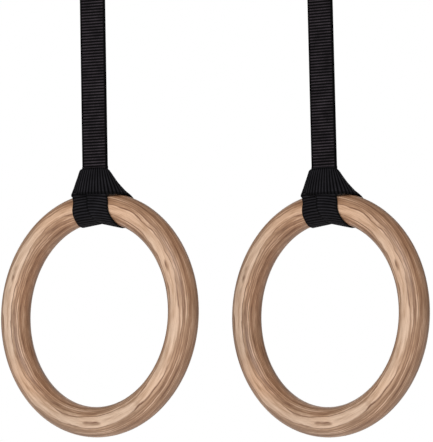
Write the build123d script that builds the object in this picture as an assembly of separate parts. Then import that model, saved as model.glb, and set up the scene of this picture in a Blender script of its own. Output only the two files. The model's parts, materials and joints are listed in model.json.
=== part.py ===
from build123d import *
from math import acos, asin, atan2, cos, degrees, hypot, radians, sin
import os

# A pair of wooden gymnastics rings, each hitched to its own webbing strap. Millimetres, +Z up,
# +X along the pair, -Y towards the front. The origin is midway between the two bar axes: each strap
# goes over a level bar along X, whose axis is at Z = 0.

# Rings
RING_RADIUS = 103.0  # to the middle of the grip
GRIP_RADIUS = 14.5
RING_SPACING = 221.2

# Webbing
WEB_WIDTH = 25.4
WEB_THICK = 1.5
STRAND_OFFSET = 0.85  # each standing strand's mid-plane from the strap's own mid-plane
FIT_GAP = 0.1  # between pieces of one body that lie on each other

# Heights of the strap, down from the bar's axis
BAR_RADIUS = 16.0
LOOP_FOOT = -44.0  # where the two legs of the bar loop have come together
BUCKLE_TOP = -42.0
BUCKLE_FOOT = -88.0
SEAM_FOOT = -114.0
SWING_Z = -117.5
TURN_TOP = -120.0  # the strap turns about its own length between these two heights
TURN_FOOT = -146.0
TWIST_Z = -250.0
FLEX_GAP = 1.1  # a strand's end from a flex axis
TWIST_GAP = 0.3

# Hitch, in the ring's own frame
WRAP_INNER = GRIP_RADIUS + 0.3
WRAP_OUTER = WRAP_INNER + WEB_THICK
WRAP_SHIFT = 3.0  # degrees round the ring, towards its near side
COLLAR_FOOT = 115.5
COLLAR_TOP = 141.0
COLLAR_HALF_FOOT = 21.5
TILT_HEIGHT = 145.5  # flex axis above the ring's centre
LEG_START = 66.4  # degrees from the top of the grip, where the legs leave its front

# Cam buckle
PLATE_THICK = 1.6
PLATE_FRONT = -STRAND_OFFSET - WEB_THICK / 2 - FIT_GAP - PLATE_THICK
FEED_Y = PLATE_FRONT - FIT_GAP - WEB_THICK / 2  # mid-plane of the strand under the cam
EAR_INNER = 13.3
EAR_THICK = 1.6
ANCHOR_TOP = -82.0
SLOT_TOP = -77.0
PIN_Y = -12.5
PIN_Z = -60.0
PIN_RADIUS = 2.0
CAM_RADIUS = 6.8
CAM_OFFSET = (0.3, -2.6)
CAM_FAR_SIDE = 6.2  # the spring sits between here and the ear

SIDES = {
    "left": {"x": -RING_SPACING / 2, "ring_turn": 35.9, "strap_turn": 16.3, "ring_z": -450.0},
    "right": {"x": RING_SPACING / 2, "ring_turn": 41.4, "strap_turn": 21.8, "ring_z": -454.7},
}


def across(outline, width, centre=0.0):
    """An outline of (y, z) points, extruded across the strap along X."""
    face = make_face(Polyline(*[(0, y, z) for y, z in outline], close=True))
    return Pos(centre - width / 2, 0, 0) * extrude(face, amount=width, dir=(1, 0, 0))


def webbing(points, radii=None, width=WEB_WIDTH, thick=WEB_THICK):
    """A band of webbing that follows a route of (y, z) points, with an arc at each corner."""
    route = [(y, z) for y, z in points]
    line = FilletPolyline(*route, radius=radii) if len(route) > 2 else Line(*route)
    band = trace(line, line_width=thick)
    return Pos(-width / 2, 0, 0) * extrude(Plane.YZ * band, amount=width)


def standing(side, y, top, foot):
    """A straight, plumb stretch of one strand, turned with the strap."""
    block = Pos(0, y, (top + foot) / 2) * Box(WEB_WIDTH, WEB_THICK, top - foot)
    return Rot(Z=-SIDES[side]["strap_turn"]) * block


def turning(side, y):
    """The stretch of one strand that turns from the bar's direction to the strap's."""
    ends = []
    for turn, height in ((0.0, TURN_TOP), (SIDES[side]["strap_turn"], TURN_FOOT)):
        frame = Pos(0, 0, height) * Rot(Z=-turn) * Pos(0, y, 0)
        ends.append(frame * Rectangle(WEB_WIDTH, WEB_THICK))
    return loft(ends, ruled=True)


def wooden_ring():
    return Rot(X=90) * Torus(RING_RADIUS, GRIP_RADIUS)


def grip_sleeve(outer, inner):
    sleeve = Torus(RING_RADIUS, outer) - Torus(RING_RADIUS, inner)
    return Rot(X=90) * sleeve


def hitch_wrap(hand):
    """One leg's turn round the grip: a band of constant width. hand is +1 on the near side."""
    half_angle = degrees(asin((WEB_WIDTH / 2 + 0.05) / (RING_RADIUS - WRAP_OUTER)))
    angle = hand * half_angle + WRAP_SHIFT
    slab = Rot(Y=angle) * Pos(0, 0, RING_RADIUS) * Box(WEB_WIDTH, 60, 60)
    return grip_sleeve(WRAP_OUTER, WRAP_INNER) & slab


def leg_front():
    """Where the legs leave the grip, and where they meet the strap: (y, z) on their outer face."""
    angle = radians(LEG_START)
    start = (-WRAP_OUTER * sin(angle), RING_RADIUS + WRAP_OUTER * cos(angle))
    return start, (-STRAND_OFFSET - WEB_THICK / 2 - 0.1, COLLAR_TOP - 0.5)


def trapezoid(half_foot, half_top, foot, top):
    """A prism through the hitch, seen from the front as a trapezoid."""
    corners = [(-half_foot, foot), (half_foot, foot), (half_top, top), (-half_top, top)]
    face = make_face(Polyline(*[(x, -40, z) for x, z in corners], close=True))
    return extrude(face, amount=80, dir=(0, 1, 0))


def hitch_neck():
    """The two legs, which rise from the front of the grip and close up into the strap."""
    (y0, z0), (y1, z1) = leg_front()
    top = TILT_HEIGHT - FLEX_GAP
    outline = [(y0, z0), (y1, z1), (y1, top), (-y1, top), (-y1, z1 - 1.5), (y0 + 2.0, z0 - 3.0)]
    wedge = across(outline, 2 * COLLAR_HALF_FOOT)
    half = WEB_WIDTH / 2
    body = wedge & (trapezoid(16.0, half, z0 - 4, z1) + Pos(0, 0, z1 + 5) * Box(2 * half, 80, 10.02))
    return body - Rot(X=90) * Torus(RING_RADIUS, WRAP_OUTER + 0.02)


def hitch_collar():
    """The bight that crosses the legs in front, and its two ends, which go over the grip."""
    (y0, z0), (y1, z1) = leg_front()
    slope = (y1 - y0) / (z1 - z0)
    inner, outer = 0.06, WEB_THICK + 0.1

    def on_face(z, stand_off):
        return (y0 + (z - z0) * slope - stand_off * (1 + slope * slope) ** 0.5, z)

    outline = [
        on_face(COLLAR_FOOT, inner),
        on_face(COLLAR_FOOT, outer),
        on_face(COLLAR_TOP, outer),
        on_face(COLLAR_TOP, inner),
    ]
    plate = across(outline, 2 * COLLAR_HALF_FOOT)
    plate &= trapezoid(COLLAR_HALF_FOOT, WEB_WIDTH / 2, COLLAR_FOOT - 1, COLLAR_TOP + 1)
    saddle = grip_sleeve(WRAP_OUTER + 2.2, WRAP_OUTER + 0.02)
    sector = [(-20.0, 118.0), (-14.0, COLLAR_FOOT - 0.5), (0, RING_RADIUS), (19.0, 116.0), (0, 128.0)]
    collar = plate
    for hand in (-1, 1):
        collar += saddle & across(sector, 13.0, hand * 22.7)
    return collar - hitch_neck()


def bar_loop():
    """The strap over the bar: as much of a turn as its legs leave, and the legs, which close up below."""
    radius = BAR_RADIUS + WEB_THICK / 2

    def leaves_bar(y):
        """Degrees round the bar from +Y, to where a leg that ends at y leaves it."""
        reach = degrees(acos(radius / hypot(y, LOOP_FOOT)))
        return reach * (1 if y > 0 else -1) + degrees(atan2(LOOP_FOOT, y))

    back, front = leaves_bar(STRAND_OFFSET), leaves_bar(FEED_Y) + 360
    turn = CenterArc((0, 0), radius, back, front - back)
    legs = [Line(turn @ 0, (STRAND_OFFSET, LOOP_FOOT)), Line(turn @ 1, (FEED_Y, LOOP_FOOT))]
    band = trace([turn, *legs], line_width=WEB_THICK)
    loop = Pos(-WEB_WIDTH / 2, 0, 0) * extrude(Plane.YZ * band, amount=WEB_WIDTH)
    below = Pos(0, 0, LOOP_FOOT - 5) * Box(40, 60, 10)
    bar = Rot(Y=90) * Cylinder(BAR_RADIUS, 40)
    return loop - below - bar


def rear_strand_top():
    return webbing([(STRAND_OFFSET, LOOP_FOOT), (STRAND_OFFSET, SWING_Z + FLEX_GAP)])


def feed_strand():
    return webbing([(FEED_Y, LOOP_FOOT), (FEED_Y, -70.0)])


def strap_tail():
    """What is left of the strap past the cam: it steps over the sewn end and hangs down."""
    tail_y = FEED_Y - 1.9
    return webbing([(FEED_Y, -70.0), (FEED_Y, -71.0), (tail_y, -76.0), (tail_y, -112.0)], 1.6)


def sewn_end():
    """The strap's other end: round the buckle's anchor bar and down over itself."""
    near_y = 2 * PLATE_FRONT + PLATE_THICK + STRAND_OFFSET
    top = ANCHOR_TOP + 1.75
    fold = [
        (-STRAND_OFFSET, SWING_Z + FLEX_GAP),
        (-STRAND_OFFSET, top),
        (near_y, top),
        (near_y, -90.0),
        (-STRAND_OFFSET - WEB_THICK - FIT_GAP, -95.0),
        (-STRAND_OFFSET - WEB_THICK - FIT_GAP, SEAM_FOOT),
    ]
    return webbing(fold, (1.6, 1.6, 2.0, 2.0))


def end_stitching():
    """Three rows of thread across the sewn end."""
    face = -STRAND_OFFSET - 1.5 * WEB_THICK - FIT_GAP
    threads = []
    for row in range(3):
        for step in range(9):
            x = (step - 4) * 2.4
            threads.append(Pos(x, face - 0.2, -98.5 - 5.5 * row) * Box(1.7, 0.4, 0.7))
    return Compound(children=threads)


def buckle_frame():
    """A folded steel channel: a back plate with an anchor slot, and two ears that hold the pin."""
    width = 2 * (EAR_INNER + EAR_THICK)
    height = BUCKLE_TOP - BUCKLE_FOOT
    middle = (BUCKLE_TOP + BUCKLE_FOOT) / 2
    plate = Pos(0, PLATE_FRONT + PLATE_THICK / 2, middle) * Box(width, PLATE_THICK, height)
    plate = fillet(plate.edges().filter_by(Axis.Y), 3.0)
    slot_middle = (ANCHOR_TOP + SLOT_TOP) / 2
    plate -= Pos(0, PLATE_FRONT, slot_middle) * Box(2 * EAR_INNER - 0.4, 10, SLOT_TOP - ANCHOR_TOP)
    outline = [
        (PLATE_FRONT + 0.2, BUCKLE_TOP - 6),
        (PLATE_FRONT + 0.2, ANCHOR_TOP + 2),
        (PLATE_FRONT - 2.0, ANCHOR_TOP + 2),
        (PIN_Y - 5.0, PIN_Z - 6.0),
        (PIN_Y - 5.0, PIN_Z + 5.0),
        (PLATE_FRONT - 2.0, BUCKLE_TOP - 6),
    ]
    frame = plate
    for hand in (-1, 1):
        ear = across(outline, EAR_THICK, hand * (EAR_INNER + EAR_THICK / 2))
        ear = fillet(ear.edges().filter_by(Axis.X).group_by(Axis.Y)[0], 3.5)
        frame += ear
    return frame - Pos(0, PIN_Y, PIN_Z) * Rot(Y=90) * Cylinder(PIN_RADIUS + 0.02, 60)


def cam_lever():
    """An eccentric toothed cam with a thumb plate above it."""
    far = CAM_FAR_SIDE
    near = -EAR_INNER + 0.4
    centre = Pos((far + near) / 2, PIN_Y + CAM_OFFSET[0], PIN_Z + CAM_OFFSET[1])
    cam = centre * Rot(Y=90) * Cylinder(CAM_RADIUS, far - near)
    for tooth in range(7):
        angle = -24 + 8 * tooth
        y = CAM_RADIUS * cos(radians(angle))
        z = CAM_RADIUS * sin(radians(angle))
        groove = Pos(0, y + 0.05, z) * Rot(X=angle) * Box(far - near + 1, 0.55, 0.45)
        cam -= centre * groove
    thumb = [
        (PIN_Y - 1.0, PIN_Z + 1.0),
        (PIN_Y - 4.2, PIN_Z + 1.0),
        (PIN_Y - 8.0, PIN_Z + 20.0),
        (PIN_Y - 11.0, PIN_Z + 25.0),
        (PIN_Y - 9.2, PIN_Z + 26.2),
        (PIN_Y - 5.8, PIN_Z + 20.6),
        (PIN_Y + 1.2, PIN_Z + 4.0),
    ]
    arm = across(thumb, far - near, (far + near) / 2)
    grip = across(thumb[2:6], 2 * EAR_INNER - 1.2)
    for rib in range(3):
        rib_at = Pos(0, PIN_Y - 8.9 - 0.9 * rib, PIN_Z + 20.8 + 1.5 * rib)
        grip += rib_at * Rot(Y=90) * Cylinder(0.45, 2 * EAR_INNER - 3.2)
    bore = Pos(0, PIN_Y, PIN_Z) * Rot(Y=90) * Cylinder(PIN_RADIUS + 0.05, 60)
    return cam + arm + grip - bore


def cam_pin():
    reach = EAR_INNER + EAR_THICK
    pin = Cylinder(PIN_RADIUS, 2 * reach)
    for hand in (-1, 1):
        head = Pos(0, 0, hand * (reach + 0.5)) * Cylinder(3.2, 1.0)
        pin += fillet(head.edges().group_by(Axis.Z)[-1 if hand > 0 else 0], 0.6)
    return Pos(0, PIN_Y, PIN_Z) * Rot(Y=90) * pin


def cam_spring():
    """A torsion spring round the pin, between the cam and the ear."""
    wire = 0.45
    coil_radius = 3.1
    length = EAR_INNER - CAM_FAR_SIDE - 1.8
    helix = Helix(pitch=length / 4, height=length, radius=coil_radius)
    start = Plane(origin=helix @ 0, z_dir=helix % 0)
    coil = sweep(start * Circle(wire), path=helix, is_frenet=True)
    finish = Plane(origin=helix @ 1, z_dir=helix % 1)
    leg = extrude(finish * Circle(wire), amount=5.5)
    spring = Compound(children=[coil, leg])
    return Pos(CAM_FAR_SIDE + 0.9, PIN_Y, PIN_Z) * Rot(Y=90) * spring


def side_nodes(side):
    """Every node of one side, in its place."""
    spec = SIDES[side]
    twist = {"front": -STRAND_OFFSET, "back": STRAND_OFFSET}
    nodes = {}
    fixed = (bar_loop, rear_strand_top, feed_strand, strap_tail, sewn_end, end_stitching)
    for maker in fixed + (buckle_frame, cam_lever, cam_pin, cam_spring):
        nodes[maker.__name__] = maker()
    strap_foot = spec["ring_z"] + TILT_HEIGHT + FLEX_GAP
    for name, y in twist.items():
        lead = Pos(0, y, (SWING_Z - FLEX_GAP + TURN_TOP) / 2)
        lead *= Box(WEB_WIDTH, WEB_THICK, SWING_Z - FLEX_GAP - TURN_TOP)
        straight = standing(side, y, TURN_FOOT, TWIST_Z + TWIST_GAP)
        nodes[f"upper_{name}_strand"] = lead + turning(side, y) + straight
        nodes[f"lower_{name}_strand"] = standing(side, y, TWIST_Z - TWIST_GAP, strap_foot)
    ring_frame = Pos(0, 0, spec["ring_z"]) * Rot(Z=-spec["ring_turn"])
    nodes["wooden_ring"] = ring_frame * wooden_ring()
    nodes["hitch_wrap_near"] = ring_frame * hitch_wrap(1)
    nodes["hitch_wrap_far"] = ring_frame * hitch_wrap(-1)
    nodes["hitch_neck"] = ring_frame * hitch_neck()
    nodes["hitch_collar"] = ring_frame * hitch_collar()
    return {name: Pos(spec["x"], 0, 0) * shape for name, shape in nodes.items()}


os.makedirs("parts", exist_ok=True)
for side in SIDES:
    for name, shape in side_nodes(side).items():
        export_step(shape, f"parts/{side}_{name}.step")
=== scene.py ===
import json
from math import acos, atan2, cos, degrees, hypot, pi, radians, sin

import bpy
import numpy as np
from mathutils import Matrix, Vector


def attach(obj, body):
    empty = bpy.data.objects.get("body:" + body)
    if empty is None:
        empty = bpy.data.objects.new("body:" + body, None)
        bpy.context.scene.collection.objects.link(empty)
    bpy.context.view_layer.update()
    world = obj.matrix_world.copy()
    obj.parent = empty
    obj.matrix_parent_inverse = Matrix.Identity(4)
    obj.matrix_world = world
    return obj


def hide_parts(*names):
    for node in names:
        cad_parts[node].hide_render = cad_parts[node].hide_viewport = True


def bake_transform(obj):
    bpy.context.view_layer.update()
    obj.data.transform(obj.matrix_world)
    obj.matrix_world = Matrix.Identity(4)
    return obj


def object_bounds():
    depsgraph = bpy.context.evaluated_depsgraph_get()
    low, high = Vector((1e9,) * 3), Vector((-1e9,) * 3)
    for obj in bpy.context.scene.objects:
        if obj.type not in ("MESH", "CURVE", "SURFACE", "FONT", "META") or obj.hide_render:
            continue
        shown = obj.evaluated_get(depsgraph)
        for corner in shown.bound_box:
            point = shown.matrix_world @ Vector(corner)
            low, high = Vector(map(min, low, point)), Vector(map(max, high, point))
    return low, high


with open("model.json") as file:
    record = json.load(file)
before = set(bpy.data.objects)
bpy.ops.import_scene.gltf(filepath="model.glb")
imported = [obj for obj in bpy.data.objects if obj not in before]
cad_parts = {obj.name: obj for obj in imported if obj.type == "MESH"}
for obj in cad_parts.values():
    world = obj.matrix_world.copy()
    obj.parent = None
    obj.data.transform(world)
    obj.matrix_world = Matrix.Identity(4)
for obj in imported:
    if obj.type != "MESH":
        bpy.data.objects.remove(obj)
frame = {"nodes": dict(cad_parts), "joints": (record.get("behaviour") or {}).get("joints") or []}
cad_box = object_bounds()

# ---------------------------------------------------------------- sizes, in metres and degrees
RING_RADIUS = 0.103
GRIP_RADIUS = 0.0145
WEB_WIDTH = 0.0254
WEB_THICK = 0.0015
STRAND_OFFSET = 0.00085  # from the strap's middle to the mid-plane of each standing strand
RIB_PITCH = 0.0029
RIB_HEIGHT = 0.0003
RIB_SAMPLES = 6  # rows of mesh to one rib
WEB_COLUMNS = 17
ACROSS = (0.0, 0.25, 0.5, 0.75, 1.0)  # where a row's five points lie, from one edge to the other

PLY = 0.0014
FACE_PLY = 0.0135  # from the ring's mid-plane to the glue line under its outermost ply

BAR_RADIUS = 0.016
LOOP_FOOT = -0.044  # height where the two legs of the loop have come together
FEED_Y = -0.00415  # mid-plane of the strap between the buckle's plate and its cam
PLATE_FOOT = -0.0705  # height where the strap leaves the buckle's plate
TAIL_TOP = -0.078
TAIL_FOOT = -0.111
TAIL_Y = FEED_Y - 0.0019
ANCHOR_TOP = -0.082
FOLD_RADIUS = 0.00165
SEWN_Y = -STRAND_OFFSET - WEB_THICK - 0.0001
SEWN_TOP = -0.0965
SEWN_FOOT = -0.1135

THREAD_RADIUS = 0.00024
STITCH_PITCH = 0.0024
STITCH_LENGTH = 0.0019
STITCH_RISE = 0.00022
STITCH_DIP = 0.00004  # how far a stitch's ends sink into the webbing
STITCH_ROW_TOP = -0.0985
STITCH_ROW_GAP = 0.0055

SWING_Z = -0.1175
TURN_TOP = -0.120  # the strap turns from the bar's direction to its own between these two heights
TURN_FOOT = -0.146
TILT_HEIGHT = 0.1455  # of the tilt's axis over the ring's centre
FLEX = 0.0045  # half of the stretch that bends at a flex axis
ROOT_FOOT = SWING_Z + FLEX

LAYER = WEB_THICK / 2 + 0.0002  # from the grip's face to the mid-plane of webbing on it
BRIDGE = WEB_WIDTH**2 / 8 / (RING_RADIUS - GRIP_RADIUS)  # how far webbing spans the ring's inner curve

JOINTS = {joint["name"]: joint for joint in frame["joints"]}
SIDES = {}
for name in ("left", "right"):
    ring_axis = JOINTS[f"{name}_ring_slide_round"]["axis"]
    strap_width = JOINTS[f"{name}_ring_tilt"]["axis"]
    x, _, z = JOINTS[f"{name}_ring_slide_round"]["pos_m"]
    SIDES[name] = {
        "x": x,
        "z": z,
        "ring_turn": atan2(ring_axis[0], ring_axis[1]),
        "strap_turn": atan2(-strap_width[1], strap_width[0]),
    }


# ---------------------------------------------------------------- camera, light and backdrop
CAMERA_PITCH, CAMERA_ROLL = 6.012, 1.2
CAMERA_X, CAMERA_Y = 0.0055, -2.2989
CAMERA_DROP = 0.1544  # below the left ring's centre
LENS = 195.5
WORLD_LIGHT = 0.19  # the backdrop's share of its own whiteness, as light on the model
FLOOR_DROP = 0.12
FLOOR_REACH = 40
FLOOR_GLOW = 0.28
LIGHTS = (  # name, position, target, size, watts
    ("key_light", (-0.42, -2.0, 0.75), (0, 0, -0.4), (0.8, 0.8), 24),
    ("back_light", (0.3, 2.2, 0.4), (0, 0, -0.35), (2.0, 1.2), 7),
    ("fill_light", (-0.85, -1.6, -0.35), (0, 0, -0.45), (0.6, 0.6), 3),
)


def add_camera():
    """Level with the lower part of the rings, a little below them, and tipped up and rolled."""
    left_z = SIDES["left"]["z"]
    pitch, roll = radians(CAMERA_PITCH), radians(CAMERA_ROLL)
    position = Vector((CAMERA_X, CAMERA_Y, left_z - CAMERA_DROP))
    forward = Vector((0, cos(pitch), sin(pitch)))
    up = Vector((0, -sin(pitch), cos(pitch)))
    right = Vector((1, 0, 0))
    rolled_right = right * cos(roll) - up * sin(roll)
    rolled_up = right * sin(roll) + up * cos(roll)
    turn = Matrix((rolled_right, rolled_up, -forward)).transposed().to_4x4()
    data = bpy.data.cameras.new("camera")
    data.sensor_width = 36.0
    data.lens = LENS
    camera = bpy.data.objects.new("camera", data)
    camera.matrix_world = Matrix.Translation(position) @ turn
    bpy.context.scene.collection.objects.link(camera)
    bpy.context.scene.camera = camera


def add_area(name, position, target, size, watts):
    data = bpy.data.lights.new(name, "AREA")
    data.shape = "RECTANGLE"
    data.size, data.size_y = size
    data.energy = watts
    light = bpy.data.objects.new(name, data)
    light.location = position
    aim = Vector(target) - Vector(position)
    light.rotation_euler = aim.to_track_quat("-Z", "Y").to_euler()
    bpy.context.scene.collection.objects.link(light)


def add_world():
    """Soft white light from all round, dimmer than the white backdrop that the camera sees."""
    world = bpy.data.worlds.new("studio")
    world.use_nodes = True
    tree = world.node_tree
    background = tree.nodes["Background"]
    background.inputs["Color"].default_value = (1, 1, 1, 1)
    path = tree.nodes.new("ShaderNodeLightPath")
    strength = tree.nodes.new("ShaderNodeMapRange")
    strength.inputs["To Min"].default_value = WORLD_LIGHT
    strength.inputs["To Max"].default_value = 1.0
    tree.links.new(path.outputs["Is Camera Ray"], strength.inputs["Value"])
    tree.links.new(strength.outputs["Result"], background.inputs["Strength"])
    bpy.context.scene.world = world


def add_floor():
    mesh = bpy.data.meshes.new("floor")
    z, r = cad_box[0][2] - FLOOR_DROP, FLOOR_REACH
    mesh.from_pydata([(-r, -r, z), (r, -r, z), (r, r, z), (-r, r, z)], [], [(0, 1, 2, 3)])
    floor = bpy.data.objects.new("floor", mesh)
    bpy.context.scene.collection.objects.link(floor)
    material = bpy.data.materials.new("pale_floor")
    material.use_nodes = True
    shader = material.node_tree.nodes["Principled BSDF"]
    shader.inputs["Base Color"].default_value = (0.9, 0.9, 0.9, 1)
    shader.inputs["Roughness"].default_value = 0.8
    shader.inputs["Emission Color"].default_value = (1, 1, 1, 1)
    shader.inputs["Emission Strength"].default_value = FLOOR_GLOW
    mesh.materials.append(material)


# ---------------------------------------------------------------- node helpers
class Nodes:
    """A material's node tree, with short calls for the nodes used here."""

    def __init__(self, name):
        self.material = bpy.data.materials.new(name)
        self.material.use_nodes = True
        self.tree = self.material.node_tree
        self.shader = self.tree.nodes["Principled BSDF"]

    def link(self, value, socket):
        if isinstance(value, (int, float, tuple, list)):
            socket.default_value = value
        else:
            self.tree.links.new(value, socket)

    def math(self, operation, a, b=0.0):
        node = self.tree.nodes.new("ShaderNodeMath")
        node.operation = operation
        self.link(a, node.inputs[0])
        self.link(b, node.inputs[1])
        return node.outputs[0]

    def vector(self, operation, a, b):
        node = self.tree.nodes.new("ShaderNodeVectorMath")
        node.operation = operation
        self.link(a, node.inputs[0])
        self.link(b, node.inputs[1])
        return node.outputs[0]

    def combine(self, x, y, z):
        node = self.tree.nodes.new("ShaderNodeCombineXYZ")
        for value, socket in zip((x, y, z), node.inputs):
            self.link(value, socket)
        return node.outputs[0]

    def separate(self, vector):
        node = self.tree.nodes.new("ShaderNodeSeparateXYZ")
        self.link(vector, node.inputs[0])
        return node.outputs

    def object_point(self):
        node = self.tree.nodes.new("ShaderNodeTexCoord")
        return node.outputs["Object"]

    def rotate_z(self, vector, angle):
        node = self.tree.nodes.new("ShaderNodeVectorRotate")
        node.rotation_type = "Z_AXIS"
        self.link(vector, node.inputs["Vector"])
        node.inputs["Angle"].default_value = angle
        return node.outputs[0]

    def noise(self, vector, scale, detail=2.0, roughness=0.5):
        node = self.tree.nodes.new("ShaderNodeTexNoise")
        self.link(vector, node.inputs["Vector"])
        node.inputs["Scale"].default_value = scale
        node.inputs["Detail"].default_value = detail
        node.inputs["Roughness"].default_value = roughness
        return node.outputs["Fac"]

    def white_noise(self, value):
        node = self.tree.nodes.new("ShaderNodeTexWhiteNoise")
        node.noise_dimensions = "1D"
        self.link(value, node.inputs["W"])
        return node.outputs["Value"]

    def ramp(self, value, stops):
        node = self.tree.nodes.new("ShaderNodeValToRGB")
        self.link(value, node.inputs[0])
        elements = node.color_ramp.elements
        elements[0].position, elements[0].color = stops[0][0], (*stops[0][1], 1)
        elements[1].position, elements[1].color = stops[-1][0], (*stops[-1][1], 1)
        for position, colour in stops[1:-1]:
            elements.new(position).color = (*colour, 1)
        return node.outputs["Color"]

    def range(self, value, low, high, to_low=0.0, to_high=1.0):
        node = self.tree.nodes.new("ShaderNodeMapRange")
        self.link(value, node.inputs["Value"])
        node.inputs["From Min"].default_value = low
        node.inputs["From Max"].default_value = high
        node.inputs["To Min"].default_value = to_low
        node.inputs["To Max"].default_value = to_high
        return node.outputs["Result"]

    def mix(self, factor, a, b, blend="MIX"):
        node = self.tree.nodes.new("ShaderNodeMix")
        node.data_type = "RGBA"
        node.blend_type = blend
        self.link(factor, node.inputs["Factor"])
        self.link(a, node.inputs[6])
        self.link(b, node.inputs[7])
        return node.outputs[2]

    def bump(self, height, distance, strength=1.0):
        node = self.tree.nodes.new("ShaderNodeBump")
        self.link(height, node.inputs["Height"])
        node.inputs["Distance"].default_value = distance
        node.inputs["Strength"].default_value = strength
        self.link(node.outputs[0], self.shader.inputs["Normal"])

    def uv(self):
        node = self.tree.nodes.new("ShaderNodeUVMap")
        node.uv_map = "webbing"
        return node.outputs[0]


# ---------------------------------------------------------------- materials
WOOD_TONES = [
    (0.345, (0.245, 0.128, 0.070)),
    (0.445, (0.410, 0.243, 0.145)),
    (0.54, (0.560, 0.356, 0.229)),
    (0.665, (0.870, 0.632, 0.464)),
]
WOOD_GLUE = (0.200, 0.085, 0.036, 1)
WOOD_WARMTH = (1.0, 0.88, 0.78, 1)
# painted shade on the ring's outer and inner walls
WOOD_RIM_SHADE = (0.76, 0.66, 0.58, 1)
# colour of the painted shade in the valleys between the webbing's ribs
WEB_VALLEY_SHADE = (0.0004, 0.0004, 0.0005)
YARN_PITCH = 0.00085
MATERIALS = {}


def ring_noise(n, ring, along, aside, depth, detail=2.0, roughness=0.5):
    """Noise stretched round the ring: along is its features per radian, aside and depth per metre."""
    cosine, sine, radius, axial = ring
    node = n.tree.nodes.new("ShaderNodeTexNoise")
    node.noise_dimensions = "4D"
    point = n.combine(
        n.math("MULTIPLY", cosine, along),
        n.math("MULTIPLY", sine, along),
        n.math("MULTIPLY", radius, aside),
    )
    n.link(point, node.inputs["Vector"])
    n.link(n.math("MULTIPLY", axial, depth), node.inputs["W"])
    node.inputs["Scale"].default_value = 1.0
    node.inputs["Detail"].default_value = detail
    node.inputs["Roughness"].default_value = roughness
    return node.outputs["Fac"]


def plywood(side):
    """Birch plywood whose plies lie across the ring's own axis, turned round and lacquered."""
    spec = SIDES[side]
    n = Nodes(f"{side}_birch_plywood")
    local = n.vector("SUBTRACT", n.object_point(), (spec["x"], 0.0, spec["z"]))
    u, axial, z = n.separate(n.rotate_z(local, spec["ring_turn"]))
    radius = n.math("SQRT", n.math("ADD", n.math("MULTIPLY", u, u), n.math("MULTIPLY", z, z)))
    ring = (n.math("DIVIDE", u, radius), n.math("DIVIDE", z, radius), radius, axial)

    # The veneers aren't flat: their glue lines wander, slowly and then finely.
    slow = n.math("SUBTRACT", ring_noise(n, ring, 2.3, 60.0, 30.0), 0.5)
    fine = n.math("SUBTRACT", ring_noise(n, ring, 9.0, 190.0, 60.0, 3.0), 0.5)
    wander = n.math("ADD", n.math("MULTIPLY", slow, 0.0036), n.math("MULTIPLY", fine, 0.0005))
    level = n.math("ADD", axial, wander)
    count = n.math("DIVIDE", n.math("ADD", level, FACE_PLY), PLY)
    index = n.math("FLOOR", count)
    within = n.math("FRACT", count)

    grain = ring_noise(n, ring, 11.0, 1500.0, 1500.0, 3.0, 0.62)
    figure = ring_noise(n, ring, 3.2, 330.0, 420.0, 2.0, 0.55)
    pores = ring_noise(n, ring, 55.0, 2600.0, 2600.0, 1.0)
    tone = n.math("ADD", n.math("MULTIPLY", grain, 0.38), n.math("MULTIPLY", figure, 0.62))
    tone = n.math("ADD", tone, n.math("MULTIPLY", n.math("SUBTRACT", n.white_noise(index), 0.5), 0.13))
    face = n.range(n.math("ABSOLUTE", level), FACE_PLY - 0.0002, FACE_PLY + 0.0001)
    # The face ply is the best veneer: paler than the rest, and with a plainer figure.
    contrast = n.range(face, 0.0, 1.0, 1.0, 0.6)
    tone = n.math("ADD", n.math("MULTIPLY", n.math("SUBTRACT", tone, 0.5), contrast), 0.5)
    tone = n.math("ADD", tone, n.math("MULTIPLY", face, 0.14))
    colour = n.ramp(tone, WOOD_TONES)
    edge = n.math("MINIMUM", within, n.math("SUBTRACT", 1.0, within))
    line = n.range(edge, 0.04, 0.20, 1.0, 0.0)
    glue = n.math("MULTIPLY", line, n.range(figure, 0.40, 0.60, 0.25, 1.0))
    colour = n.mix(glue, colour, WOOD_GLUE)
    colour = n.mix(n.range(pores, 0.66, 0.76, 0.0, 0.35), colour, WOOD_GLUE)
    warmth = n.range(ring_noise(n, ring, 1.1, 25.0, 25.0), 0.42, 0.62, 0.0, 0.8)
    colour = n.mix(warmth, colour, WOOD_WARMTH, "MULTIPLY")
    # Painted shade: the ring's outer and inner walls, where the plies' edges show, are darkened towards
    # its rims.
    from_middle = n.math("ABSOLUTE", n.math("SUBTRACT", radius, RING_RADIUS))
    painted_rim_shade = n.range(from_middle, 0.45 * GRIP_RADIUS, GRIP_RADIUS, 0.0, 0.75)
    colour = n.mix(painted_rim_shade, colour, WOOD_RIM_SHADE, "MULTIPLY")
    n.link(colour, n.shader.inputs["Base Color"])
    n.link(n.range(grain, 0.3, 0.7, 0.56, 0.44), n.shader.inputs["Roughness"])
    n.shader.inputs["Coat Weight"].default_value = 0.22
    n.shader.inputs["Coat Roughness"].default_value = 0.42
    relief = n.math("SUBTRACT", n.math("MULTIPLY", grain, 0.6), n.math("MULTIPLY", glue, 0.3))
    n.bump(relief, 0.0001, 0.4)
    return n.material


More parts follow.
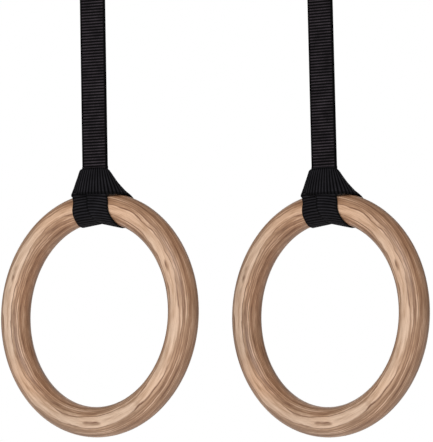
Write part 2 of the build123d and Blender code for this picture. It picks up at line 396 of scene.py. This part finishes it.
def webbing_material(name, crest_highlight_colour, selvedge, shoulder):
    """Black polypropylene with yarns along the strap in its bump. Its colour is a painted highlight
    along each rib's crest and painted shade in the valleys between ribs. The last two arguments are the
    share of that painted highlight which the flat selvedges keep and the share which a rib keeps
    half-way up its side."""
    n = Nodes(name)
    across, along, _ = n.separate(n.uv())
    rib = n.math("FRACT", n.math("DIVIDE", along, RIB_PITCH))
    crest = n.math("SINE", n.math("MULTIPLY", rib, pi))
    yarn = n.math("FRACT", n.math("DIVIDE", across, YARN_PITCH))
    strand = n.math("SINE", n.math("MULTIPLY", yarn, pi))
    fuzz_point = n.combine(n.math("MULTIPLY", across, 900.0), n.math("MULTIPLY", along, 2500.0), 0.0)
    fuzz = n.noise(fuzz_point, 1.0, 3.0)
    wear = n.noise(n.object_point(), 90.0, 3.0)
    # Painted highlight: brightest on each rib's crest, falling to painted shade in the valleys, varying
    # at random and kept only in part on the selvedges.
    light = n.math("MULTIPLY", n.math("POWER", crest, 2.0), n.range(fuzz, 0.25, 0.75, 0.55, 1.15))
    light = n.math("MULTIPLY", light, n.range(wear, 0.3, 0.7, 0.8, 1.15))
    light = n.math("MULTIPLY", light, n.range(n.math("ABSOLUTE", across), 0.0100, 0.0112, 1.0, selvedge))
    colour = n.ramp(light, [
        (0.0, WEB_VALLEY_SHADE),
        (0.5, tuple(c * shoulder for c in crest_highlight_colour)),
        (1.0, crest_highlight_colour),
    ])
    n.link(colour, n.shader.inputs["Base Color"])
    n.shader.inputs["Roughness"].default_value = 0.62
    n.shader.inputs["Specular IOR Level"].default_value = 0.04
    height = n.math("ADD", n.math("MULTIPLY", strand, 0.5), n.math("MULTIPLY", fuzz, 0.4))
    n.bump(height, 0.00022, 0.7)
    return n.material


def metal(name, colour, roughness, metallic=1.0, scratch=600.0):
    n = Nodes(name)
    point = n.object_point()
    wear = n.noise(point, scratch, 4.0, 0.6)
    cloud = n.noise(point, 60.0, 2.0)
    light = tuple(min(1.0, c * 1.12) for c in colour)
    dark = tuple(c * 0.82 for c in colour)
    n.link(n.ramp(cloud, [(0.35, dark), (0.65, light)]), n.shader.inputs["Base Color"])
    n.link(n.range(wear, 0.3, 0.7, roughness * 0.8, roughness * 1.25), n.shader.inputs["Roughness"])
    n.shader.inputs["Metallic"].default_value = metallic
    n.bump(wear, 0.00003, 0.5)
    return n.material


def thread_material():
    n = Nodes("black_thread")
    twist = n.noise(n.object_point(), 4000.0, 2.0)
    colour = n.ramp(twist, [(0.3, (0.012, 0.012, 0.012)), (0.7, (0.05, 0.05, 0.052))])
    n.link(colour, n.shader.inputs["Base Color"])
    n.shader.inputs["Roughness"].default_value = 0.45
    n.bump(twist, 0.0001, 0.6)
    return n.material


def make_materials():
    # Two copies of the webbing, each with a painted highlight on its ribs' crests: the strap's brighter,
    # the hitch's dimmer and with less contrast.
    MATERIALS["webbing"] = webbing_material("black_webbing", (0.064, 0.052, 0.061), 0.10, 0.15)
    MATERIALS["pressed"] = webbing_material("pressed_black_webbing", (0.030, 0.028, 0.033), 0.4, 0.40)
    MATERIALS["thread"] = thread_material()
    MATERIALS["buckle"] = metal("zinc_plated_steel", (0.56, 0.57, 0.58), 0.30)
    MATERIALS["cam"] = metal("black_cam", (0.035, 0.035, 0.037), 0.38, 0.0)
    MATERIALS["spring"] = metal("spring_wire", (0.33, 0.33, 0.34), 0.28)


def dress(node, material):
    """Gives a CAD node its material, in its own slots."""
    target = frame["nodes"][node]
    target.data.materials.clear()
    target.data.materials.append(material)
    for polygon in target.data.polygons:
        polygon.material_index = 0


# ---------------------------------------------------------------- webbing
def smooth(points, counts):
    """Catmull-Rom through rows of points, along axis 0, at the given parameter values."""
    rows = np.asarray(points, float)
    last = len(rows) - 1
    at = np.clip(counts, 0, last)
    i = np.minimum(at.astype(int), last - 1)
    t = (at - i).reshape((-1,) + (1,) * (rows.ndim - 1))
    before = rows[np.maximum(i - 1, 0)]
    a, b = rows[i], rows[i + 1]
    after = rows[np.minimum(i + 2, last)]
    return 0.5 * (2 * a + (b - before) * t + (2 * before - 5 * a + 4 * b - after) * t**2
                  + (3 * a - before - 3 * b + after) * t**3)


def even_rows(rows, step):
    """Rows spread evenly along their middle, about one step apart, and how far along each is."""
    fine = smooth(rows, np.linspace(0, len(rows) - 1, 40 * len(rows)))
    middle = fine[:, fine.shape[1] // 2]
    gone = np.concatenate([[0], np.cumsum(np.linalg.norm(np.diff(middle, axis=0), axis=1))])
    count = max(2, int(round(gone[-1] / step)) + 1)
    wanted = np.linspace(0, gone[-1], count)
    place = np.interp(wanted, gone, np.arange(len(fine)))
    i = np.minimum(place.astype(int), len(fine) - 2)
    t = (place - i)[:, None, None]
    return fine[i] * (1 - t) + fine[i + 1] * t, wanted


def unit(vectors):
    return vectors / np.maximum(np.linalg.norm(vectors, axis=-1, keepdims=True), 1e-12)


def ribbed_loop(rows, start):
    """The band's vertices, one closed loop round its section for each row, and how far along each is.
    Ribs stand up across the band and stop short of its rounded edges."""
    surface, gone = even_rows(rows, RIB_PITCH / RIB_SAMPLES)
    columns = np.linspace(0, surface.shape[1] - 1, WEB_COLUMNS)
    surface = smooth(surface.transpose(1, 0, 2), columns).transpose(1, 0, 2)
    along = unit(np.gradient(surface, axis=0))
    across = unit(np.gradient(surface, axis=1))
    normal = unit(np.cross(across, along))
    share = np.abs(np.linspace(-1, 1, WEB_COLUMNS))
    edge_at = 0.93
    inside = np.clip((edge_at - share) / 0.05, 0, 1)
    roundness = np.sqrt(np.clip(1 - np.clip((share - edge_at) / 0.075, 0, 1) ** 2, 0.05, 1))
    phase = (gone + start) / RIB_PITCH
    crest = np.abs(np.sin(pi * phase)) ** 0.8
    base = WEB_THICK / 2 - RIB_HEIGHT
    half = (base + RIB_HEIGHT * crest[:, None] * inside[None, :]) * roundness[None, :]
    front = surface + normal * half[:, :, None]
    back = surface - normal * half[:, :, None]
    return np.concatenate([front, back[:, ::-1]], axis=1), gone


def band_faces(total, ring):
    """Quads along a band of that many rows, each a loop of ring vertices, with both ends closed."""
    faces = []
    for i in range(total - 1):
        for j in range(ring):
            k = (j + 1) % ring
            faces.append((i * ring + j, i * ring + k, (i + 1) * ring + k, (i + 1) * ring + j))
    for i, flip in ((0, True), (total - 1, False)):
        for j in range(WEB_COLUMNS - 1):
            quad = (i * ring + j, i * ring + j + 1, i * ring + ring - 2 - j, i * ring + ring - 1 - j)
            faces.append(quad[::-1] if flip else quad)
    return faces


def webbing_piece(name, rows, start=0.0, material="webbing"):
    """A ribbed band of webbing whose middle surface goes through rows of points, each row across the
    band. start is how far along the strap its first row is, so that ribs meet between pieces."""
    loop, gone = ribbed_loop(rows, start)
    ring = loop.shape[1]
    mesh = bpy.data.meshes.new(name)
    mesh.from_pydata(loop.reshape(-1, 3).tolist(), [], band_faces(len(loop), ring))
    uv = mesh.uv_layers.new(name="webbing")
    corners = np.empty(len(mesh.loops), dtype=np.int32)
    mesh.loops.foreach_get("vertex_index", corners)
    row, column = corners // ring, corners % ring
    there = np.linspace(-0.5, 0.5, WEB_COLUMNS)
    width_at = np.concatenate([there, np.linspace(0.5, -0.5, WEB_COLUMNS)])
    uv_values = np.stack([width_at[column] * WEB_WIDTH, gone[row] + start], axis=1)
    uv.data.foreach_set("uv", uv_values.astype(np.float32).ravel())
    mesh.polygons.foreach_set("use_smooth", [True] * len(mesh.polygons))
    mesh.materials.append(MATERIALS[material])
    mesh.validate()
    piece = bpy.data.objects.new(name, mesh)
    bpy.context.scene.collection.objects.link(piece)
    return piece


def straight_row(side, z, offset, turn):
    """Five points across a standing strand at height z."""
    x = SIDES[side]["x"]
    width = np.array((cos(turn), -sin(turn), 0.0))
    out = np.array((sin(turn), cos(turn), 0.0))
    centre = np.array((x, 0.0, z)) + out * offset
    return [centre + width * WEB_WIDTH * (share - 0.5) for share in ACROSS]


def strap_turn_at(side, z):
    """How far the strap has turned at height z, from the bar's direction to its own."""
    share = min(1.0, max(0.0, (TURN_TOP - z) / (TURN_TOP - TURN_FOOT)))
    return SIDES[side]["strap_turn"] * share * share * (3 - 2 * share)


def standing_piece(side, name, offset, foot, top):
    """A stretch of one standing strand, from foot to top."""
    count = max(2, int(round((top - foot) / 0.004)))
    heights = np.linspace(foot, top, count + 1)
    rows = [straight_row(side, z, offset, strap_turn_at(side, z)) for z in heights]
    return webbing_piece(f"{side}_{name}", rows, start=foot + 1.0)


def ring_point(side, u, depth, z):
    """A point in the ring's own frame: u along it at the top, depth away from the front, z up."""
    spec = SIDES[side]
    c, s = cos(spec["ring_turn"]), sin(spec["ring_turn"])
    return np.array((spec["x"] + u * c + depth * s, -u * s + depth * c, spec["z"] + z))


def grip_point(side, u, phi, stand_off):
    """A point round the grip, phi degrees from its top towards the back, at u along the ring there."""
    phi = radians(phi)
    reach = GRIP_RADIUS + stand_off
    radius = RING_RADIUS + reach * cos(phi)
    angle = u / radius
    return ring_point(side, radius * sin(angle), reach * sin(phi), radius * cos(angle))


def wrapped_row(side, phi, first, second, first_out=LAYER, second_out=LAYER):
    """Five points across a leg on the grip, from one edge to the other."""
    rows = []
    for share in ACROSS:
        u = first + (second - first) * share
        out = first_out + (second_out - first_out) * share
        out += BRIDGE * 4 * share * (1 - share) * max(0.0, -cos(radians(phi)))
        rows.append(grip_point(side, u, phi, out))
    return rows


def open_row(side, first, second, bulge=0.0, towards=(0.0, -1.0, 0.0)):
    """Five points across a free stretch, between two edge points in the ring's frame, in millimetres."""
    a, b = np.array(first) / 1000, np.array(second) / 1000
    rows = []
    for share in ACROSS:
        p = a + (b - a) * share + np.array(towards) * bulge / 1000 * 4 * share * (1 - share)
        rows.append(ring_point(side, *p))
    return rows


# The hitch's webbing in millimetres, in the ring's own frame: (along the ring, back, up). The near leg's
# front is (degrees round the grip, first edge, second edge, how far the first edge stands off the grip).
NEAR_LEG_FRONT = [
    (-66, 1.6, 26.6, 2.6), (-80, 2.2, 27.4, 2.7), (-95, 2.8, 28.0, 2.6), (-110, 3.9, 29.1, 2.5),
    (-125, 5.2, 30.4, 2.2), (-140, 6.6, 31.8, 1.8),
]
NEAR_LEG_BACK = (7.6, 12.6)  # its first edge, at the first and at the last of the angles below
NEAR_LEG_BACK_ANGLES = range(-155, -306, -15)
LEG_WIDTH = 25.2
STANDING_OFF = 0.0010  # how far the near leg's second edge stands off the grip, in metres
# The far leg's inner edge, from the back of the grip's top, round behind and under, to its front.
FAR_LEG = [
    (-305, -5.4), (-290, -4.4), (-275, -3.2), (-260, -1.9), (-245, -0.7), (-230, 0.7),
    (-215, 2.3), (-200, 4.2), (-185, 6.0), (-170, 7.0), (-155, 7.8), (-140, 8.4),
    (-125, 8.6), (-110, 8.5), (-95, 8.6), (-80, 8.9), (-66, 8.6),
]
# The collar, from the near side's back, across the front, to the far side's back: each row's top end and
# foot, and how far its middle bows out.
COLLAR = [
    ((12.6, 12.6, 115.6), (37.7, 12.2, 107.4), 0.3),
    ((12.6, 12.2, 121.0), (37.6, 11.4, 109.6), 0.4),
    ((13.4, 9.6, 129.0), (38.4, 6.0, 111.7), -0.2),
    ((13.7, 6.6, 135.4), (38.4, 1.0, 112.3), -1.6),
    ((13.5, 3.9, 139.0), (36.6, -4.4, 112.6), -2.0),
    ((12.2, 1.9, 140.8), (32.8, -9.4, 113.0), -0.8),
    ((9.2, 0.5, 141.4), (25.8, -13.9, 113.2), 0.3),
    ((4.6, -1.2, 141.6), (17.0, -16.4, 113.7), 0.5),
    ((-0.4, -3.0, 141.6), (7.4, -16.9, 114.2), 0.5),
    ((-5.4, -4.8, 141.5), (-2.6, -16.4, 114.7), 0.5),
    ((-9.8, -6.3, 141.2), (-12.2, -13.4, 115.5), 0.5),
    ((-12.7, -6.6, 140.3), (-20.4, -8.4, 116.4), 0.5),
    ((-13.6, -4.2, 137.6), (-27.3, -3.4, 116.2), 0.4),
    ((-13.2, 0.4, 132.2), (-30.3, 2.0, 115.5), 0.4),
    ((-10.0, 7.0, 124.8), (-30.2, 7.8, 113.6), 0.4),
    ((-7.4, 12.2, 119.0), (-30.6, 12.4, 110.8), 0.4),
    ((-6.4, 12.7, 115.0), (-30.6, 12.8, 109.2), 0.3),
]
# The free stretches between the strap and the grip, edge to edge: down to the near leg, and up from the
# far leg.
TO_NEAR_LEG = (
    ((-7.6, -9.6, 126.5), (16.6, -6.9, 126.0)),
    ((-1.4, -14.6, 117.0), (23.6, -12.9, 115.6)),
)
FROM_FAR_LEG = (
    ((6.6, -12.0, 116.0), (-18.4, -12.2, 116.5)),
    ((9.4, -6.6, 126.5), (-15.8, -7.4, 126.5)),
)
# The standing strands' last rows above it: (height, how far back, share of the strap's turn).
FRONT_STRAND = ((143.0, -0.85, 1.0), (139.0, -1.1, 1.0), (134.0, -2.8, 0.8))
BACK_STRAND = ((134.0, -1.0, 0.8), (139.0, 0.6, 1.0), (143.0, 0.85, 1.0))


def hitch_rows(side):
    """The hitch, from the strap's front strand to its back strand: down the front of the grip, round
    it, over its top, across the front as the collar, and the same on the far side."""
    turn = SIDES[side]["ring_turn"] - SIDES[side]["strap_turn"]
    half = WEB_WIDTH * 500

    def strap_row(z, depth, lean):
        a = turn * lean
        edge = (half * cos(a), half * sin(a))
        return open_row(side, (-edge[0], depth - edge[1], z), (edge[0], depth + edge[1], z))

    rows = [strap_row(*row) for row in FRONT_STRAND]
    for first, second in TO_NEAR_LEG:
        rows.append(open_row(side, first, second))
    for phi, first, second, first_out in NEAR_LEG_FRONT:
        rows.append(wrapped_row(side, phi, first / 1000, second / 1000, first_out / 1000, STANDING_OFF))
    start, end = NEAR_LEG_BACK
    angles = NEAR_LEG_BACK_ANGLES
    for phi in angles:
        first = start + (end - start) * (phi - angles[0]) / (angles[-1] - angles[0])
        rows.append(wrapped_row(side, phi, first / 1000, (first + LEG_WIDTH) / 1000))
    for top, foot, bulge in COLLAR:
        rows.append(open_row(side, top, foot, bulge, (0.0, -0.7, 0.7)))
    for phi, first in FAR_LEG:
        rows.append(wrapped_row(side, phi, first / 1000, (first - LEG_WIDTH) / 1000))
    for first, second in FROM_FAR_LEG:
        rows.append(open_row(side, first, second))
    rows += [strap_row(*row)[::-1] for row in BACK_STRAND]
    return rows


def hitch_piece(side):
    # The hitch's webbing carries the dimmer painted highlight.
    piece = webbing_piece(f"{side}_hitch_webbing", hitch_rows(side), material="pressed")
    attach(piece, f"{side}_hitch")
    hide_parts(*(f"{side}_{n}" for n in ("hitch_neck", "hitch_collar",
                                                 "hitch_wrap_near", "hitch_wrap_far")))


def strap_pieces(side):
    """The two standing strands, each in three stretches: one round each flex axis and one between them.
    """
    spec = SIDES[side]
    tilt = spec["z"] + TILT_HEIGHT
    for name, offset in (("front", -STRAND_OFFSET), ("back", STRAND_OFFSET)):
        foot, low = tilt - FLEX, tilt + FLEX
        high, top = SWING_Z - FLEX * 2, SWING_Z + FLEX
        piece = standing_piece(side, f"{name}_strand_foot", offset, foot, low)
        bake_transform(piece)

        piece = standing_piece(side, f"{name}_strand", offset, low, high)
        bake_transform(piece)
        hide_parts(f"{side}_upper_{name}_strand", f"{side}_lower_{name}_strand")

        piece = standing_piece(side, f"{name}_strand_head", offset, high, top)
        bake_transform(piece)


def level_row(side, y, z):
    """Five points across the strap where it lies along the bar."""
    x = SIDES[side]["x"]
    return [np.array((x + WEB_WIDTH * (share - 0.5), y, z)) for share in ACROSS]


def arc(centre_y, centre_z, radius, start, end, count):
    """Points (y, z) on an arc, from start to end degrees, measured from +Y towards +Z."""
    angles = np.radians(np.linspace(start, end, count))
    return [(centre_y + radius * cos(a), centre_z + radius * sin(a)) for a in angles]


def leaves_bar(y, radius):
    """Degrees round the bar from +Y, to where a leg that ends at y, at the loop's foot, leaves it."""
    reach = degrees(acos(radius / hypot(y, LOOP_FOOT)))
    return (reach if y > 0 else 360 - reach) + degrees(atan2(LOOP_FOOT, y))


def straight(start, end, count):
    """Points (y, z) from start to end."""
    return [tuple(np.array(start) + (np.array(end) - start) * k / (count - 1)) for k in range(count)]


def bar_strap(side):
    """The strap up behind the buckle, over the bar, down under the cam, and its free end."""
    radius = BAR_RADIUS + WEB_THICK / 2
    back, front = leaves_bar(STRAND_OFFSET, radius), leaves_bar(FEED_Y, radius)
    turn = arc(0, 0, radius, back, front, 26)
    route = straight((STRAND_OFFSET, ROOT_FOOT), (STRAND_OFFSET, LOOP_FOOT - 0.001), 12)
    route += straight((STRAND_OFFSET + 0.0006, LOOP_FOOT + 0.001), turn[0], 6)[:-1]
    route += turn
    route += straight(turn[-1], (FEED_Y - 0.0004, LOOP_FOOT + 0.001), 6)[1:]
    route += straight((FEED_Y, LOOP_FOOT - 0.001), (FEED_Y, PLATE_FOOT), 6)
    route += [(FEED_Y - 0.0009, -0.0732), (FEED_Y - 0.0018, -0.0758)]
    route += straight((TAIL_Y, TAIL_TOP), (TAIL_Y, TAIL_FOOT), 7)
    piece = webbing_piece(f"{side}_bar_strap", [level_row(side, y, z) for y, z in route])
    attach(piece, "bar_straps")
    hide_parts(*(f"{side}_{n}" for n in ("bar_loop", "rear_strand_top",
                                                 "feed_strand", "strap_tail")))


def anchor_strap(side):
    """The strap's sewn end: up to the buckle, round its anchor bar and down over itself."""
    middle_y = (FEED_Y - STRAND_OFFSET) / 2
    route = straight((-STRAND_OFFSET, ROOT_FOOT), (-STRAND_OFFSET, ANCHOR_TOP - 0.001), 8)
    route += arc(middle_y, ANCHOR_TOP, FOLD_RADIUS, 0, 180, 7)
    route += [(FEED_Y, -0.0835), (FEED_Y, -0.0865), (FEED_Y, -0.0892)]
    route += [(SEWN_Y - 0.0009, -0.0923), (SEWN_Y - 0.0002, -0.0945)]
    route += straight((SEWN_Y, SEWN_TOP), (SEWN_Y, SEWN_FOOT), 4)
    piece = webbing_piece(f"{side}_anchor_strap", [level_row(side, y, z) for y, z in route])
    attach(piece, "bar_straps")
    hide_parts(f"{side}_sewn_end")


def stitch(middle, face, z, steps=8, around=8):
    """One stitch's vertices: a short arch of thread along the bar, whose ends dip into the webbing."""
    vertices = []
    for i in range(steps + 1):
        share = i / steps
        lift = STITCH_RISE * sin(pi * share) - STITCH_DIP
        for j in range(around):
            a = 2 * pi * j / around
            vertices.append((
                middle + (share - 0.5) * STITCH_LENGTH,
                face - lift + THREAD_RADIUS * cos(a),
                z + THREAD_RADIUS * sin(a),
            ))
    return vertices


def stitch_faces(base, steps=8, around=8):
    """Its faces, the first of its vertices being number base, with both ends closed."""
    faces = []
    for i in range(steps):
        for j in range(around):
            k = (j + 1) % around
            near, far = base + i * around, base + (i + 1) * around
            faces.append((near + j, near + k, far + k, far + j))
    faces.append(tuple(base + j for j in reversed(range(around))))
    faces.append(tuple(base + steps * around + j for j in range(around)))
    return faces


def stitches(side):
    """Three rows of nine stitches across the sewn end."""
    x, face = SIDES[side]["x"], SEWN_Y - WEB_THICK / 2
    vertices, faces = [], []
    for row in range(3):
        for step in range(9):
            faces += stitch_faces(len(vertices))
            middle = x + (step - 4) * STITCH_PITCH
            vertices += stitch(middle, face, STITCH_ROW_TOP - STITCH_ROW_GAP * row)
    mesh = bpy.data.meshes.new(f"{side}_stitches")
    mesh.from_pydata(vertices, [], faces)
    mesh.polygons.foreach_set("use_smooth", [True] * len(mesh.polygons))
    mesh.materials.append(MATERIALS["thread"])
    mesh.validate()
    piece = bpy.data.objects.new(f"{side}_stitches", mesh)
    bpy.context.scene.collection.objects.link(piece)
    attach(piece, "bar_straps")
    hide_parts(f"{side}_end_stitching")


# ---------------------------------------------------------------- the model
add_camera()
add_world()
add_floor()
for light in LIGHTS:
    add_area(*light)
make_materials()
for side in SIDES:
    dress(f"{side}_wooden_ring", plywood(side))
    for node, material in (("buckle_frame", "buckle"), ("cam_pin", "buckle"), ("cam_lever", "cam"),
                           ("cam_spring", "spring")):
        dress(f"{side}_{node}", MATERIALS[material])
    hitch_piece(side)
    strap_pieces(side)
    bar_strap(side)
    anchor_strap(side)
    stitches(side)

bpy.context.scene.view_settings.view_transform = "Standard"
